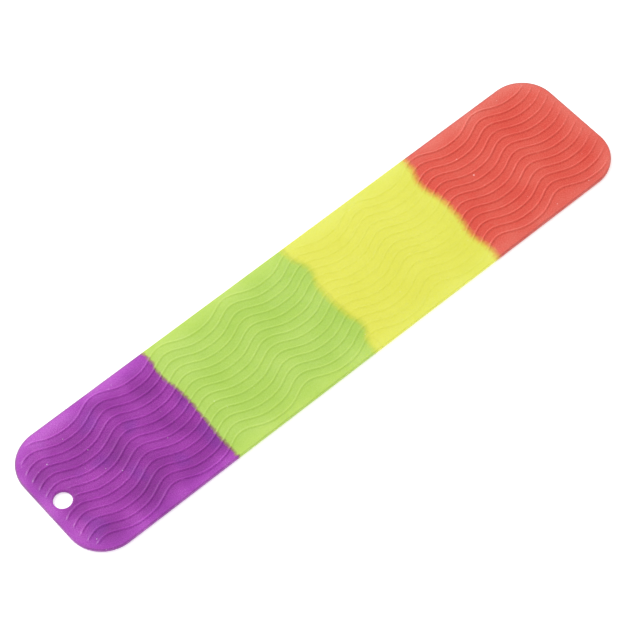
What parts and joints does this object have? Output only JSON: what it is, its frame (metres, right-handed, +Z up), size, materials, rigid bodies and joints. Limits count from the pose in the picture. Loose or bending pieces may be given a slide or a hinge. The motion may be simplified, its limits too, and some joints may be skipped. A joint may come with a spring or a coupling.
{
  "type": "silicone strip mat",
  "caption": "Flat flexible silicone strip mat with rounded corners, wavy raised grip ribs on one face, coloured sections fused end to end and a hanging hole at one end.",
  "frame": {"origin": "centre of the flat underside of the strip", "axes": "+X along the strip from the purple end with the hanging hole to the red end, +Z up out of the ribbed face"},
  "size_m": [0.28, 0.062, 0.002],
  "materials": {
    "purple_silicone": "satin moulded silicone, purple",
    "green_silicone": "satin moulded silicone, light green",
    "yellow_silicone": "satin moulded silicone, yellow",
    "red_silicone": "satin moulded silicone, coral red"
  },
  "bodies": {
    "root": {"purple_section": "purple_silicone", "green_section": "green_silicone", "yellow_section": "yellow_silicone", "red_section": "red_silicone"}
  },
  "joints": []
}
